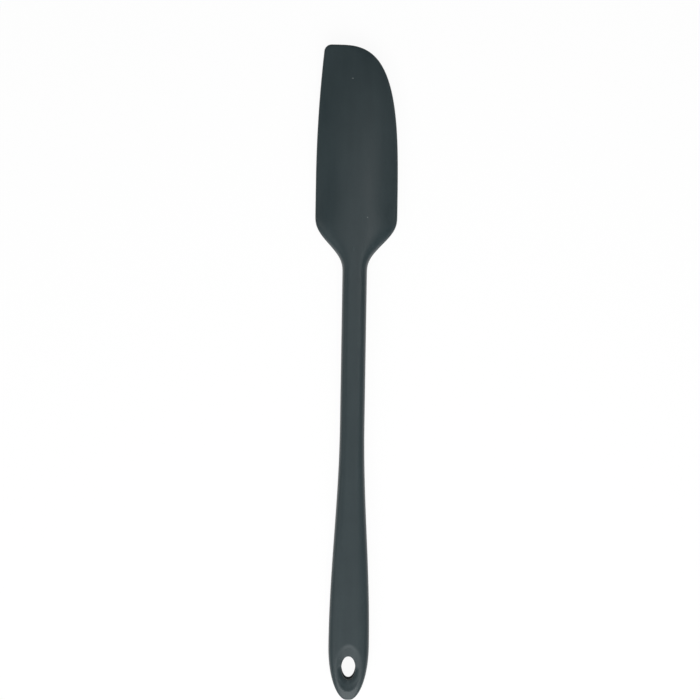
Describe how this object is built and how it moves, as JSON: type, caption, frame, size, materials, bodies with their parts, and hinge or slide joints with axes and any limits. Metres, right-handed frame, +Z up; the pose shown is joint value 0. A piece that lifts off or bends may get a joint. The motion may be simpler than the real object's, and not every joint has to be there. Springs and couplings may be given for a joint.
{
  "type": "dough scraper",
  "caption": "Slim one-piece silicone dough scraper: long asymmetric flexible blade, narrow stem, flattened handle with an oval hang hole, stiff nylon core inside.",
  "frame": {"origin": "centre of the box's underside, on the table that the scraper lies on", "axes": "+Y along the scraper from the hang hole to the blade's tip, +X across the blade towards its curved side, +Z up through the thickness"},
  "size_m": [0.0352, 0.28, 0.009],
  "materials": {
    "silicone": "matte moulded silicone, dark grey-green",
    "nylon": "glass-filled nylon, black, as moulded"
  },
  "bodies": {
    "root": {"silicone_body": "silicone", "nylon_core": "nylon"}
  },
  "joints": []
}
